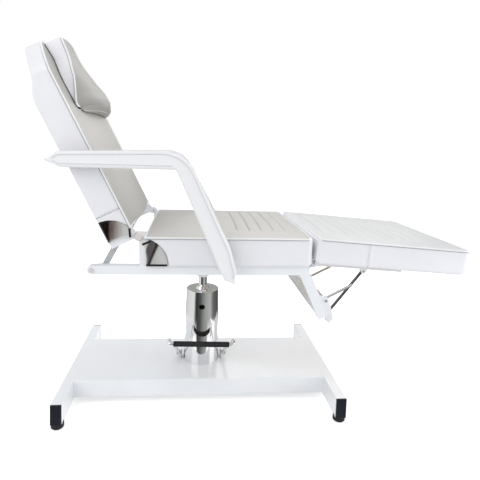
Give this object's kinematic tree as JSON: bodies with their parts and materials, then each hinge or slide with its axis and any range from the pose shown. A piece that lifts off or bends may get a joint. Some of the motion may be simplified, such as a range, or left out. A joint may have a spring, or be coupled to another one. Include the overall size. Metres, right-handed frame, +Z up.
{
  "type": "tattoo chair",
  "caption": "White hydraulic tattoo chair: box-rail base, chrome pump column, reclining back with head pillow, armrests and a drop-down leg rest.",
  "frame": {"origin": "on the floor under the middle of the overall length and width", "axes": "+X towards the foot end, +Y away from the side that the picture shows, +Z up"},
  "size_m": [1.5286, 0.716, 1.2908],
  "materials": {
    "white_paint": "gloss",
    "grey_paint": "satin",
    "chrome": "mirror",
    "steel": "satin",
    "upholstery": "soft gloss",
    "board": "plain",
    "black_rubber": "matt",
    "black_plastic": "matt"
  },
  "bodies": {
    "base": {"base_rail_head": "white_paint", "base_rail_foot": "white_paint", "base_end_caps": "black_plastic", "base_feet": "black_rubber", "base_pan": "white_paint", "pump_cylinder": "steel", "column_cover": "chrome", "column_top_disc": "chrome", "gland_nut": "chrome", "pedal_lugs": "grey_paint", "pedal_pins": "steel"},
    "pedal": {"pedal_rod": "chrome", "pedal_grip": "black_rubber"},
    "piston": {"piston_rod": "chrome"},
    "seat_frame": {"seat_socket": "white_paint", "seat_rail_near": "white_paint", "seat_rail_far": "white_paint", "rail_end_bosses": "white_paint", "rail_end_bolts": "steel", "seat_cross_tubes": "white_paint", "front_cross_tube": "white_paint", "front_leg_near": "white_paint", "front_leg_far": "white_paint", "leg_cross_tube": "white_paint", "strut_clamps": "grey_paint", "leg_hinge_lugs": "white_paint", "leg_hinge_pins": "steel", "seat_hinge_plates": "white_paint", "seat_horn_covers": "chrome", "hinge_pins": "chrome", "seat_board": "board", "seat_cushion": "upholstery", "armrest_block_near": "white_paint", "armrest_block_far": "white_paint", "armrest_plate_near": "white_paint", "armrest_plate_far": "white_paint", "armrest_pad_near": "upholstery", "armrest_pad_far": "upholstery"},
    "leg_rest": {"leg_rest_tubes": "white_paint", "leg_rest_crossbar": "white_paint", "leg_rest_hinges": "white_paint", "strut_lugs": "white_paint", "strut_pins": "steel", "leg_rest_board": "board", "leg_rest_cushion": "upholstery"},
    "leg_struts": {"leg_struts": "chrome"},
    "release_rod": {"release_rod": "chrome"},
    "backrest": {"back_hinge_plates": "white_paint", "back_horn_covers": "chrome", "back_tube": "white_paint", "back_ribs": "white_paint", "back_board": "board", "backrest_cushion": "upholstery", "headrest_pillow": "upholstery", "stay_pins": "steel"},
    "back_stays": {"back_stays": "grey_paint"}
  },
  "joints": [
    {"name": "lift", "type": "slide", "parent": "base", "child": "piston", "axis": [0, 0, 1], "range_m": [-0.036, 0.11]},
    {"name": "seat_swivel", "type": "hinge", "parent": "piston", "child": "seat_frame", "pos_m": [-0.165, 0, 0.42], "axis": [0, 0, 1], "continuous": true},
    {"name": "back_recline", "type": "hinge", "parent": "seat_frame", "child": "backrest", "pos_m": [-0.387, 0, 0.64], "axis": [0, -1, 0], "range_deg": [-12, 62.8]},
    {"name": "stay_turn", "type": "hinge", "parent": "backrest", "child": "back_stays", "pos_m": [-0.4583, 0, 0.61685], "axis": [0, -1, 0], "range_deg": [-100.58, 19.3]},
    {"name": "leg_drop", "type": "hinge", "parent": "seat_frame", "child": "leg_rest", "pos_m": [0.204, 0, 0.533], "axis": [0, 1, 0], "range_deg": [-4.1, 51]},
    {"name": "strut_turn", "type": "hinge", "parent": "leg_rest", "child": "leg_struts", "pos_m": [0.4, 0, 0.512], "axis": [0, 1, 0], "range_deg": [-25.09, 2.11]},
    {"name": "release_turn", "type": "hinge", "parent": "seat_frame", "child": "release_rod", "pos_m": [0.258, 0, 0.415], "axis": [0, 1, 0], "range_deg": [-6.66, 81.7]},
    {"name": "pedal_press", "type": "hinge", "parent": "base", "child": "pedal", "pos_m": [-0.165, 0, 0.105], "axis": [1, 0, 0], "range_deg": [0, 22], "stiffness_Nm_per_rad": 6, "springref_deg": -14.32}
  ],
  "couplings": [
    {"joint": "stay_turn", "follows": "back_recline", "ratio": -1.6},
    {"joint": "strut_turn", "follows": "leg_drop", "ratio": -0.49},
    {"joint": "release_turn", "follows": "leg_drop", "ratio": 1.6}
  ]
}
